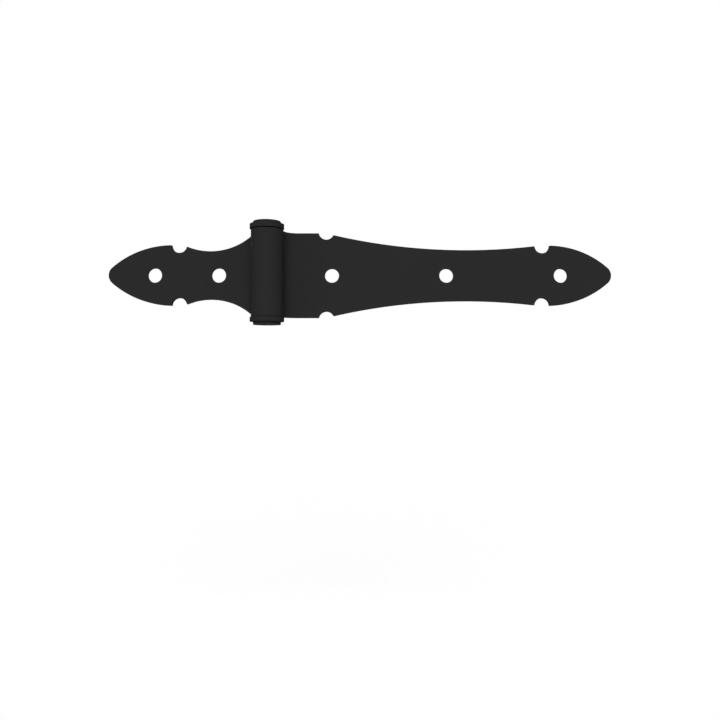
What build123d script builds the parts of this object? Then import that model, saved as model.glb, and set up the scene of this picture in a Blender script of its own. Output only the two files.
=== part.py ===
from build123d import *
from math import acos, atan2, cos, degrees, hypot, radians, sin, sqrt
import os

# Half strap hinge, in millimetres.
# +X runs along the strap, away from the pin. +Z runs up the pin. The front faces -Y.
# The origin is on the short leaf's mounting face, straight behind the middle of the pin.

# Sheet and pin
sheet = 2.3             # thickness of both leaves, paint included
edge_break = 0.1        # taken off every cut edge by tumbling, before painting
corner_round = 0.2      # corners of the outline, where a notch breaks the edge
barrel_d = 15.8         # outside of the rolled barrel
barrel_lift = 1.05      # between the barrel and the short leaf's plate behind it
bend_radius = 6.75      # front of the strap, where it bends forward to the barrel
seam_gap = 0.3          # between the end of the roll and the back of the bend
pin_clearance = 0.08    # running clearance all round the pin in the barrel
pin_seat = 0.05         # clearance all round the pin in the ears
head_overhang = 1.305   # how far the low head at each end of the pin reaches past its shank
head_height = 1.45      # of the head formed on the pin, at the top
rivet_height = 1.62     # of the head riveted over below
head_dome = 0.1
head_rim = 0.15         # flat taken off a head's edge

# Strap leaf
strap_width = 42.8      # full width, which is also the barrel's length
strap_drop = 0.13       # the strap hangs this far below the middle of the ears
strap_first_hole = 31.6
strap_pitch = 57.85
strap_holes = 3
strap_hole_d = 7.1
strap_tip_past_hole = 25.4
strap_notch_before_hole = 2.8
strap_notch_outside_edge = 0.65
strap_shoulder_step = 0.9  # each edge steps in by this much across the first pair of notches
strap_waist = 25.75
strap_waist_past_middle = 9.8
strap_end_notch_before_hole = 9.5
strap_belly = 30.4
strap_belly_before_hole = 6.35

# Short leaf
leaf_first_hole = 25.6
leaf_pitch = 32.35
leaf_hole_d = 7.3
leaf_tip_past_hole = 23.3
leaf_waist = 24.45
leaf_waist_past_hole = 4.1
leaf_notch_before_hole = 12.45
leaf_belly = 30.55
leaf_belly_before_hole = 8.8
leaf_flare_past_barrel = 0.2  # the flare is at its widest this far outside the barrel

# Both outlines
notch_radius = 3.85
tip_radius = 5.25

# Ears of the short leaf
ear_past_barrel = 0.55  # the round head of an ear stands this far outside the barrel
ear_neck = 12.0
ear_neck_round = 1.0
ear_bend = 0.75         # inside radius of the fold
ear_relief = 0.8        # the flare falls by this much towards the neck, so that the fold doesn't tear it
end_play = 0.5          # total, between the barrel's ends and the ears

# Worked out from the sizes above
barrel_radius = barrel_d / 2
eye_radius = barrel_radius - sheet
pin_radius = eye_radius - pin_clearance
head_radius = pin_radius + head_overhang
ear_head_radius = barrel_radius + ear_past_barrel
pin_y = -(sheet + barrel_lift + barrel_radius)
bend_x = barrel_radius + bend_radius
bend_y = -(sheet + bend_radius)
ear_inside = (strap_width + end_play) / 2
ear_outside = ear_inside + sheet
fold_z = ear_inside - ear_bend
strap_last_hole = strap_first_hole + (strap_holes - 1) * strap_pitch
leaf_last_hole = leaf_first_hole + leaf_pitch


def circles_meet(centre_a, radius_a, centre_b, radius_b, outward):
    """Crossing point of two circles: the one further along X if outward, or else the nearer one."""
    away = Vector(centre_b) - Vector(centre_a)
    along = (radius_a**2 - radius_b**2 + away.length**2) / (2 * away.length)
    across = sqrt(radius_a**2 - along**2)
    direction = away.normalized()
    foot = Vector(centre_a) + direction * along
    side = Vector(-direction.Y, direction.X) * across
    crossings = sorted((foot + side, foot - side), key=lambda point: point.X)
    return crossings[-1] if outward else crossings[0]


def arc_about(centre, start, end):
    """The shorter arc about a centre, from start to end."""
    middle = (start - centre).normalized() + (end - centre).normalized()
    return ThreePointArc(start, centre + middle.normalized() * (start - centre).length, end)


def pointed_end(start, waist_x, waist, notch_x, belly_x, belly, tip_x):
    """Upper edge of a leaf from the start of its waist to its rounded tip, with the corners of its notch."""
    waist_point = Vector(waist_x, waist / 2)
    rise = start.Y - waist_point.Y
    waist_radius = ((start.X - waist_x) ** 2 + rise**2) / (2 * rise)
    waist_centre = waist_point + Vector(0, waist_radius)

    length = tip_x - belly_x
    half = belly / 2
    side_radius = (length**2 - 2 * length * tip_radius + half**2) / (2 * (half - tip_radius))
    side_centre = Vector(belly_x, half - side_radius)
    tip_centre = Vector(tip_x - tip_radius, 0)
    tip_start = tip_centre + (tip_centre - side_centre).normalized() * tip_radius

    notch_centre = Vector(notch_x, half)
    notch_start = circles_meet(notch_centre, notch_radius, waist_centre, waist_radius, False)
    notch_end = circles_meet(notch_centre, notch_radius, side_centre, side_radius, True)
    edges = [
        ThreePointArc(start, waist_point, notch_start),
        ThreePointArc(notch_start, notch_centre - Vector(0, notch_radius), notch_end),
        arc_about(side_centre, notch_end, tip_start),
    ]
    tip = ThreePointArc(tip_start, Vector(tip_x, 0), Vector(tip_start.X, -tip_start.Y))
    return edges, tip, [notch_start, notch_end]


def both_sides(upper_edges, tip, corners):
    """Closes an upper edge with its mirror image and rounds the named corners."""
    first = upper_edges[0] @ 0
    lower_edges = [mirror(edge, about=Plane.XZ) for edge in upper_edges]
    root = Line(first, Vector(first.X, -first.Y))
    outline = make_face(upper_edges + [tip] + lower_edges + [root])
    mirrored = [Vector(corner.X, -corner.Y) for corner in corners]
    sharp = [outline.vertices().sort_by_distance(point)[0] for point in corners + mirrored]
    return fillet(sharp, corner_round)


def strap_outline():
    """Outline of the strap seen from the front, X along it from the pin."""
    half = strap_width / 2
    notch_centre = Vector(strap_first_hole - strap_notch_before_hole, half + strap_notch_outside_edge)
    reach = sqrt(notch_radius**2 - strap_notch_outside_edge**2)
    notch_start = Vector(notch_centre.X - reach, half)
    shoulder_y = half - strap_shoulder_step
    shoulder_reach = sqrt(notch_radius**2 - (notch_centre.Y - shoulder_y) ** 2)
    shoulder = Vector(notch_centre.X + shoulder_reach, shoulder_y)
    middle_hole = (strap_first_hole + strap_last_hole) / 2
    edges, tip, corners = pointed_end(
        shoulder,
        middle_hole + strap_waist_past_middle,
        strap_waist,
        strap_last_hole - strap_end_notch_before_hole,
        strap_last_hole - strap_belly_before_hole,
        strap_belly,
        strap_last_hole + strap_tip_past_hole,
    )
    root = [
        Line(Vector(-barrel_d, half), notch_start),
        ThreePointArc(notch_start, notch_centre - Vector(0, notch_radius), shoulder),
    ]
    return both_sides(root + edges, tip, [notch_start, shoulder] + corners)


def leaf_outline():
    """Outline of the short leaf seen from behind, X along it from the pin."""
    neck_x = ear_neck / 2
    shoulder_z = fold_z - ear_relief
    flare = Vector(barrel_radius + leaf_flare_past_barrel, fold_z)
    edges, tip, corners = pointed_end(
        flare,
        leaf_first_hole + leaf_waist_past_hole,
        leaf_waist,
        leaf_last_hole - leaf_notch_before_hole,
        leaf_last_hole - leaf_belly_before_hole,
        leaf_belly,
        leaf_last_hole + leaf_tip_past_hole,
    )
    root = [
        Line(Vector(-neck_x, fold_z), Vector(neck_x, fold_z)),
        Line(Vector(neck_x, fold_z), Vector(neck_x, shoulder_z)),
        Line(Vector(neck_x, shoulder_z), flare),
    ]
    return both_sides(root + edges, tip, [Vector(neck_x, shoulder_z), flare] + corners)


def strap_section():
    """Section of the strap across the pin: a flat run, a bend forward and the full roll of the barrel."""
    far_x = strap_last_hole + 2 * strap_tip_past_hole
    bend_from_pin = hypot(bend_x, bend_y - pin_y)
    bend_direction = atan2(bend_y - pin_y, bend_x)
    kept_clear = bend_radius + sheet + seam_gap
    opening = acos(
        (barrel_radius**2 + bend_from_pin**2 - kept_clear**2) / (2 * barrel_radius * bend_from_pin)
    )
    roll_end = degrees(bend_direction + opening)
    turn = 360 - roll_end
    toward_end = Vector(cos(radians(roll_end)), sin(radians(roll_end)))
    pin_centre = Vector(0, pin_y)
    bend_centre = Vector(bend_x, bend_y)
    return make_face([
        Line((far_x, -sheet), (bend_x, -sheet)),
        CenterArc(bend_centre, bend_radius, 90, 90),
        Line((barrel_radius, bend_y), (barrel_radius, pin_y)),
        CenterArc(pin_centre, barrel_radius, 0, -turn),
        Line(pin_centre + toward_end * barrel_radius, pin_centre + toward_end * eye_radius),
        CenterArc(pin_centre, eye_radius, roll_end, turn),
        Line((eye_radius, pin_y), (eye_radius, bend_y)),
        CenterArc(bend_centre, bend_radius + sheet, 180, -90),
        Line((bend_x, 0), (far_x, 0)),
        Line((far_x, 0), (far_x, -sheet)),
    ])


def break_edges(piece):
    """Takes the sharpness off every cut edge, and leaves alone the smooth lines where a bend begins."""
    faces = piece.faces()
    sharp = []
    for edge in piece.edges():
        middle = edge @ 0.5
        normals = [face.normal_at(middle) for face in faces if edge in face.edges()]
        if len(normals) == 2 and normals[0].get_angle(normals[1]) > 15:
            sharp.append(edge)
    return chamfer(sharp, edge_break)


def screw_holes(diameter, places):
    """Drills through a leaf, one for each place along X."""
    return [
        Pos(x, -sheet / 2, 0) * Rot(90, 0, 0) * Cylinder(diameter / 2, 2 * sheet) for x in places
    ]


def make_strap_leaf():
    """Strap, bend and barrel, folded from one sheet."""
    folded = extrude(strap_section(), strap_width, both=True)
    outline = extrude(Plane.XZ * strap_outline(), 2 * barrel_d, both=True)
    places = [strap_first_hole + index * strap_pitch for index in range(strap_holes)]
    strap = (folded & outline) - screw_holes(strap_hole_d, places)
    return Pos(0, 0, -strap_drop) * break_edges(strap)


def make_ear():
    """Upper ear of the short leaf: the fold, then a neck that widens to a round head with the pin's hole."""
    fold_y = -(sheet + ear_bend)
    ring = Circle(ear_bend + sheet) - Circle(ear_bend)
    corner = Rectangle(ear_bend + sheet, ear_bend + sheet, align=(Align.MIN, Align.MIN))
    fold = extrude(Plane.YZ * Pos(fold_y, fold_z) * (ring & corner), ear_neck / 2, both=True)
    neck = Pos(0, fold_y) * Rectangle(ear_neck, fold_y - pin_y, align=(Align.CENTER, Align.MAX))
    head = Pos(0, pin_y) * Circle(ear_head_radius)
    past_fold = Pos(0, fold_y) * Rectangle(2 * ear_head_radius, sheet, align=(Align.CENTER, Align.MIN))
    face = neck + (head - past_fold)
    shoulders = [vertex for vertex in face.vertices() if pin_y + 1 < vertex.Y < fold_y - 1]
    face = fillet(shoulders, ear_neck_round) - Pos(0, pin_y) * Circle(pin_radius + pin_seat)
    return fold + Pos(0, 0, ear_inside) * extrude(face, sheet)


def make_short_leaf():
    """Short leaf with both ears, cut and folded from one sheet."""
    plate = mirror(extrude(Plane.XZ * leaf_outline(), sheet), about=Plane.YZ)
    places = [-leaf_first_hole, -leaf_last_hole]
    ear = make_ear()
    leaf = plate + ear + mirror(ear, about=Plane.XY)
    return break_edges(leaf - screw_holes(leaf_hole_d, places))


def head_profile(height):
    """Half section of a low domed head that stands on top of the upper ear."""
    top = ear_outside + height
    crown_edge = Vector(head_radius - head_rim, top - head_dome)
    crown_radius = (crown_edge.X**2 + head_dome**2) / (2 * head_dome)
    rim = Vector(head_radius, crown_edge.Y - head_rim)
    return [
        Line((pin_radius, ear_outside), (head_radius, ear_outside)),
        Line((head_radius, ear_outside), rim),
        Line(rim, crown_edge),
        arc_about(Vector(0, top - crown_radius), crown_edge, Vector(0, top)),
    ]


def make_hinge_pin():
    """Solid pin with a low domed head at each end, one formed on it and one riveted over."""
    riveted_head = [mirror(edge, about=Plane.XZ) for edge in head_profile(rivet_height)]
    shank = Line((pin_radius, -ear_outside), (pin_radius, ear_outside))
    middle = Line((0, ear_outside + head_height), (0, -ear_outside - rivet_height))
    section = make_face(head_profile(head_height) + riveted_head + [shank, middle])
    return Pos(0, pin_y, 0) * revolve(Plane.XZ * section, Axis.Z)


os.makedirs("parts", exist_ok=True)
export_step(make_strap_leaf(), "parts/strap_leaf.step")
export_step(make_short_leaf(), "parts/short_leaf.step")
export_step(make_hinge_pin(), "parts/hinge_pin.step")
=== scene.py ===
import math

import bpy
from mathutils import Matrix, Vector


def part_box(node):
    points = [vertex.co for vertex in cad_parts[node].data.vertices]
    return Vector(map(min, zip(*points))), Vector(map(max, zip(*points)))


bl_info = {
    "name": "Half strap hinge",
    "version": (1, 0, 0),
    "blender": (4, 5, 0),
    "location": "3D View > Sidebar > Hinge",
    "description": "Powder-coated half strap hinge on a plain pale stage",
    "category": "Object",
}

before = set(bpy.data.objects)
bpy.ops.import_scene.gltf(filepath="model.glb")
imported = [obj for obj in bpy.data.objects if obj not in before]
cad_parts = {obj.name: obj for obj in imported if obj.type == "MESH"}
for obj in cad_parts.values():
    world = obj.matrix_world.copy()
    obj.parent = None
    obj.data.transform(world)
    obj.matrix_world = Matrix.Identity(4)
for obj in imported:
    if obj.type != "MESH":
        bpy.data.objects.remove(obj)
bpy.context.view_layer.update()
MM = 0.001
WHITE = (1.0, 1.0, 1.0, 1.0)

# The strap's centre line and the pin's axis, read from the model's own boxes.
STRAP_LOW, STRAP_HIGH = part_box("strap_leaf")
PIN_LOW, PIN_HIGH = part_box("hinge_pin")
STRAP_MIDDLE_Z = (STRAP_LOW.z + STRAP_HIGH.z) / 2
PIN_X = (PIN_LOW.x + PIN_HIGH.x) / 2
SHEET = 2.3 * MM        # from the hinge's back to the front face of the flat strap

# Where the photograph puts things, in its own 720 pixels.
PICTURE_PX = 720
PX_PER_MM = 1.979       # on the front face of the flat strap
PIN_COLUMN = 269.4      # of the pin's axis, carried back to that face
STRAP_ROW = 275.62      # of the strap's centre line
FOCAL_PX = 680

# Where each lamp stands, seen from the hinge. The setting of the same name is its strength.
LAMPS = {
    "key_light": Vector((0.05, -0.92, 0.38)).normalized(),
    "side_light": Vector((-0.74, -0.62, 0.25)).normalized(),
    "back_light": Vector((-0.3, 0.85, 0.43)).normalized(),
}

# The baked film. Polyester has an IOR of 1.5. Reflections see the stage as plain white from every
# side, and at the usual specular level they would turn the black grey and its rims white. This
# level is the one at which the rims look as they do in the photograph.
FILM_IOR = 1.5
FILM_SPECULAR = 0.004
ROUGHNESS_BETWEEN_GRAINS = 0.6
ROUGHNESS_ON_GRAINS = 0.72
DARKEST_TONE = 0.98     # times the coat's colour
LIGHTEST_TONE = 1.02
DRIFT_WIDTH = 45 * MM   # from one thick stretch of the film to the next


def linear(hex_colour):
    """Linear red, green and blue of an sRGB hex colour."""
    channels = [int(hex_colour[start:start + 2], 16) / 255 for start in (1, 3, 5)]
    return [c / 12.92 if c <= 0.04045 else ((c + 0.055) / 1.055) ** 2.4 for c in channels]


def add_node(tree, kind, inputs=None, **settings):
    """Adds a node, sets its properties, and gives each input a value or links it to a socket."""
    node = tree.nodes.new(kind)
    for name, value in settings.items():
        setattr(node, name, value)
    for key, value in (inputs or {}).items():
        if isinstance(value, bpy.types.NodeSocket):
            tree.links.new(value, node.inputs[key])
        else:
            node.inputs[key].default_value = value
    return node


class PaintSettings(bpy.types.PropertyGroup):
    """Colour and texture of the baked powder coat"""

    leaf_colour: bpy.props.FloatVectorProperty(
        name="Leaf colour", description="Colour of the coat on both leaves",
        subtype="COLOR", min=0, max=1, default=linear("#2A2A2A"))
    pin_colour: bpy.props.FloatVectorProperty(
        name="Pin colour", description="Colour of the coat on the pin's two heads",
        subtype="COLOR", min=0, max=1, default=linear("#2B2B2B"))
    peel_width: bpy.props.FloatProperty(
        name="Orange peel width", description="From one crest of the orange peel to the next",
        subtype="DISTANCE", unit="LENGTH", default=2.4 * MM)
    peel_height: bpy.props.FloatProperty(
        name="Orange peel height", description="Height of the orange peel's crests",
        subtype="DISTANCE", unit="LENGTH", precision=6, default=0.012 * MM)
    grain_width: bpy.props.FloatProperty(
        name="Grain width", description="Width of one grain of the matting agent",
        subtype="DISTANCE", unit="LENGTH", precision=5, default=0.35 * MM)
    grain_height: bpy.props.FloatProperty(
        name="Grain height", description="Height of one grain of the matting agent",
        subtype="DISTANCE", unit="LENGTH", precision=6, default=0.003 * MM)


class StageSettings(bpy.types.PropertyGroup):
    """Floor and light"""

    floor_drop: bpy.props.FloatProperty(
        name="Floor drop", description="Height of the pin's middle above the floor",
        subtype="DISTANCE", unit="LENGTH", default=0.26)
    floor_size: bpy.props.FloatProperty(
        name="Floor size", description="Width of the floor",
        subtype="DISTANCE", unit="LENGTH", default=8.0)
    floor_colour: bpy.props.FloatVectorProperty(
        name="Floor colour", description="Colour of the floor",
        subtype="COLOR", min=0, max=1, default=linear("#BCBCBC"))
    soft_light: bpy.props.FloatProperty(
        name="Soft light", description="Strength of the light that comes from all round",
        min=0, default=0.3)
    key_light: bpy.props.FloatProperty(
        name="Key light", description="Strength of the broad lamp in front",
        min=0, default=2.19)
    side_light: bpy.props.FloatProperty(
        name="Side light", description="Strength of the broad lamp at the left",
        min=0, default=0.22)
    back_light: bpy.props.FloatProperty(
        name="Back light", description="Strength of the broad lamp behind",
        min=0, default=1.7)
    lamp_width: bpy.props.FloatProperty(
        name="Lamp width", description="Angle that each lamp fills, seen from the hinge",
        subtype="ANGLE", unit="ROTATION", default=math.radians(40))


class HINGE_OT_coat_leaves(bpy.types.Operator):
    """Gives both leaves their powder coat"""

    bl_idname = "hinge.coat_leaves"
    bl_label = "Coat the leaves"

    def execute(self, context):
        paint = context.scene.hinge_paint
        coat = powder_coat("Satin black powder coat on pressed steel", paint.leaf_colour, paint)
        for name in ("strap_leaf", "short_leaf"):
            give_material(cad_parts[name], coat)
        return {"FINISHED"}


class HINGE_OT_coat_pin(bpy.types.Operator):
    """Gives the pin its powder coat"""

    bl_idname = "hinge.coat_pin"
    bl_label = "Coat the pin"

    def execute(self, context):
        paint = context.scene.hinge_paint
        coat = powder_coat("Satin black powder coat on riveted steel", paint.pin_colour, paint)
        give_material(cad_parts["hinge_pin"], coat)
        return {"FINISHED"}


class HINGE_OT_set_stage(bpy.types.Operator):
    """Lays the floor, sets the lamps and places the camera"""

    bl_idname = "hinge.set_stage"
    bl_label = "Set the stage"

    def execute(self, context):
        stage = context.scene.hinge_stage
        lay_floor(stage)
        light_world(context.scene, stage)
        for name, direction in LAMPS.items():
            set_lamp(name, direction, getattr(stage, name), stage.lamp_width)
        place_camera(context.scene)
        context.scene.view_settings.view_transform = "Standard"
        return {"FINISHED"}


class HINGE_PT_panel(bpy.types.Panel):
    """Steps and settings of the hinge"""

    bl_idname = "HINGE_PT_panel"
    bl_label = "Half strap hinge"
    bl_space_type = "VIEW_3D"
    bl_region_type = "UI"
    bl_category = "Hinge"

    def draw(self, context):
        layout = self.layout
        for step in STEPS:
            layout.operator(step.bl_idname)
        for settings in (context.scene.hinge_paint, context.scene.hinge_stage):
            for name in settings.__annotations__:
                layout.prop(settings, name)


def empty_tree(owner):
    """Node tree of a new material or world, with its usual nodes cleared away."""
    owner.use_nodes = True
    owner.node_tree.nodes.clear()
    return owner.node_tree


def powder_coat(name, colour, paint):
    """Polyester powder, sprayed dry and baked: a satin skin, faint orange peel and fine grain."""
    material = bpy.data.materials.new(name)
    tree = empty_tree(material)
    place = add_node(tree, "ShaderNodeTexCoord").outputs["Object"]

    # The film is a little thinner here and thicker there, which shows as a slow drift of tone.
    drift = add_node(tree, "ShaderNodeTexNoise", {
        "Vector": place,
        "Scale": 1 / DRIFT_WIDTH,
        "Detail": 2.0,
    })
    tone = add_node(tree, "ShaderNodeMapRange", {
        "Value": drift.outputs["Fac"],
        "To Min": DARKEST_TONE,
        "To Max": LIGHTEST_TONE,
    })
    shade = add_node(tree, "ShaderNodeMix", {
        "Factor": 1.0,
        "A": (*colour, 1.0),
        "B": tone.outputs["Result"],
    }, data_type="RGBA", blend_type="MULTIPLY")

    # Orange peel: the powder flows together in the oven, but not quite flat.
    peel = add_node(tree, "ShaderNodeTexNoise", {
        "Vector": place,
        "Scale": 1 / paint.peel_width,
        "Detail": 1.0,
    })
    peel_bump = add_node(tree, "ShaderNodeBump", {
        "Height": peel.outputs["Fac"],
        "Distance": paint.peel_height,
    })

    # Grains of the matting agent take the shine off. Real ones are a few hundredths of a
    # millimetre wide and would never show, so they are drawn about ten times as coarse.
    grain = add_node(tree, "ShaderNodeTexNoise", {
        "Vector": place,
        "Scale": 1 / paint.grain_width,
        "Detail": 2.0,
    })
    gloss = add_node(tree, "ShaderNodeMapRange", {
        "Value": grain.outputs["Fac"],
        "To Min": ROUGHNESS_BETWEEN_GRAINS,
        "To Max": ROUGHNESS_ON_GRAINS,
    })
    grain_bump = add_node(tree, "ShaderNodeBump", {
        "Height": grain.outputs["Fac"],
        "Distance": paint.grain_height,
        "Normal": peel_bump.outputs["Normal"],
    })

    shader = add_node(tree, "ShaderNodeBsdfPrincipled", {
        "Base Color": shade.outputs["Result"],
        "Roughness": gloss.outputs["Result"],
        "Normal": grain_bump.outputs["Normal"],
        "IOR": FILM_IOR,
        "Specular IOR Level": FILM_SPECULAR,
    })
    add_node(tree, "ShaderNodeOutputMaterial", {"Surface": shader.outputs["BSDF"]})
    return material


def give_material(piece, material):
    """Puts one material on the whole of a piece."""
    for slot in piece.material_slots:
        slot.material = material


def seen_or_reflected(tree):
    """1 for what is seen, straight or in gloss or glass, and 0 for light on its way to a surface."""
    rays = add_node(tree, "ShaderNodeLightPath").outputs
    seen = rays["Is Camera Ray"]
    for kind in ("Is Glossy Ray", "Is Transmission Ray"):
        either = add_node(tree, "ShaderNodeMath", {0: seen, 1: rays[kind]}, operation="MAXIMUM")
        seen = either.outputs["Value"]
    return seen


def matt_emulsion(stage):
    """Emulsion rolled on board: flat and without shine, so it shows nothing but the shadow."""
    material = bpy.data.materials.new("Matt emulsion on board")
    tree = empty_tree(material)
    paint = add_node(tree, "ShaderNodeBsdfDiffuse", {"Color": (*stage.floor_colour, 1.0)})

    # Where it is seen or reflected it also glows, by as much as it falls short of white.
    lamps_on_floor = sum(getattr(stage, name) * direction.z for name, direction in LAMPS.items())
    sent_back = stage.floor_colour.g * (stage.soft_light + lamps_on_floor / math.pi)
    strength = add_node(tree, "ShaderNodeMath", {
        0: seen_or_reflected(tree),
        1: 1 - sent_back,
    }, operation="MULTIPLY")
    glow = add_node(tree, "ShaderNodeEmission", {
        "Color": WHITE,
        "Strength": strength.outputs["Value"],
    })
    both = add_node(tree, "ShaderNodeAddShader", {
        0: paint.outputs["BSDF"],
        1: glow.outputs["Emission"],
    })
    add_node(tree, "ShaderNodeOutputMaterial", {"Surface": both.outputs["Shader"]})
    return material


def add_object(name, data):
    """Puts a mesh, lamp or camera into the scene."""
    item = bpy.data.objects.new(name, data)
    bpy.context.collection.objects.link(item)
    return item


def lay_floor(stage):
    """A floor so wide that its edges are out of the picture."""
    mesh = bpy.data.meshes.new("floor")
    half = stage.floor_size / 2
    corners = [(-half, -half), (half, -half), (half, half), (-half, half)]
    mesh.from_pydata([(x, y, -stage.floor_drop) for x, y in corners], [], [(0, 1, 2, 3)])
    floor = add_object("floor", mesh)
    mesh.materials.append(matt_emulsion(stage))


def light_world(scene, stage):
    """Even light from all round. Cameras and reflections see it as plain white."""
    scene.world = bpy.data.worlds.new("Studio")
    tree = empty_tree(scene.world)
    strength = add_node(tree, "ShaderNodeMapRange", {
        "Value": seen_or_reflected(tree),
        "To Min": stage.soft_light,
        "To Max": 1.0,
    })
    light = add_node(tree, "ShaderNodeBackground", {
        "Color": WHITE,
        "Strength": strength.outputs["Result"],
    })
    add_node(tree, "ShaderNodeOutputWorld", {"Surface": light.outputs["Background"]})


def set_lamp(name, direction, strength, width):
    """One broad soft lamp, so far off that it falls evenly on the whole hinge."""
    light = bpy.data.lights.new(name, "SUN")
    light.energy = strength
    light.angle = width
    lamp = add_object(name, light)
    lamp.location = direction
    lamp.rotation_euler = (-direction).to_track_quat("-Z", "Y").to_euler()


def place_camera(scene):
    """Looks straight at the front, from where the photograph was taken."""
    optics = bpy.data.cameras.new("camera")
    optics.lens = optics.sensor_width * FOCAL_PX / PICTURE_PX
    # The middle of the picture is this far right of the pin and below the strap's centre line.
    mm_right = (PICTURE_PX / 2 - PIN_COLUMN) / PX_PER_MM
    mm_below = (PICTURE_PX / 2 - STRAP_ROW) / PX_PER_MM
    camera = add_object("camera", optics)
    camera.location = (
        PIN_X + mm_right * MM,
        -SHEET - FOCAL_PX / PX_PER_MM * MM,
        STRAP_MIDDLE_Z - mm_below * MM,
    )
    camera.rotation_euler = (math.radians(90), 0, 0)    # level, and along +Y
    scene.camera = camera


STEPS = (HINGE_OT_coat_leaves, HINGE_OT_coat_pin, HINGE_OT_set_stage)
CLASSES = (PaintSettings, StageSettings, *STEPS, HINGE_PT_panel)


def register():
    for cls in CLASSES:
        bpy.utils.register_class(cls)
    bpy.types.Scene.hinge_paint = bpy.props.PointerProperty(type=PaintSettings)
    bpy.types.Scene.hinge_stage = bpy.props.PointerProperty(type=StageSettings)


def unregister():
    del bpy.types.Scene.hinge_stage
    del bpy.types.Scene.hinge_paint
    for cls in reversed(CLASSES):
        bpy.utils.unregister_class(cls)


def main():
    register()
    bpy.ops.hinge.coat_leaves()
    bpy.ops.hinge.coat_pin()
    bpy.ops.hinge.set_stage()


if __name__ == "__main__":
    main()
